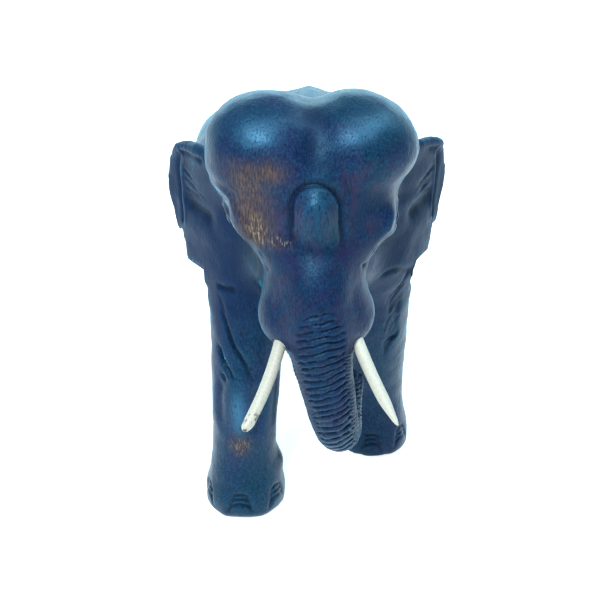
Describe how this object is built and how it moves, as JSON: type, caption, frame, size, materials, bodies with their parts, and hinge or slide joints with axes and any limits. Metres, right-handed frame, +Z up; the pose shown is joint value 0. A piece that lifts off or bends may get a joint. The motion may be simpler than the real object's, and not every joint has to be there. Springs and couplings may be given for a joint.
{
  "type": "carved elephant figurine",
  "caption": "Free-standing walking elephant carved from one block of dark stained wood, trunk curled under, with two white tusks that push into drilled sockets.",
  "frame": {"origin": "on the floor under the middle of the bounding box", "axes": "+Z up, the elephant walks towards -Y, and +X is its own left side"},
  "size_m": [0.1814, 0.3876, 0.295],
  "materials": {
    "stained_wood": "blue-black stain under wax, satin, worn to brown on the forehead",
    "tusk_white": "smooth off-white paint, satin, worn near one tip"
  },
  "bodies": {
    "block": {"carved_body": "stained_wood"},
    "right_tusk": {"tusk_right": "tusk_white"},
    "left_tusk": {"tusk_left": "tusk_white"}
  },
  "joints": [
    {"name": "tusk_right_pull", "type": "slide", "parent": "block", "child": "right_tusk", "axis": [-0.2166, -0.8439, -0.4908], "range_m": [0, 0.018]},
    {"name": "tusk_left_pull", "type": "slide", "parent": "block", "child": "left_tusk", "axis": [0.3036, -0.8166, -0.4908], "range_m": [0, 0.018]}
  ]
}
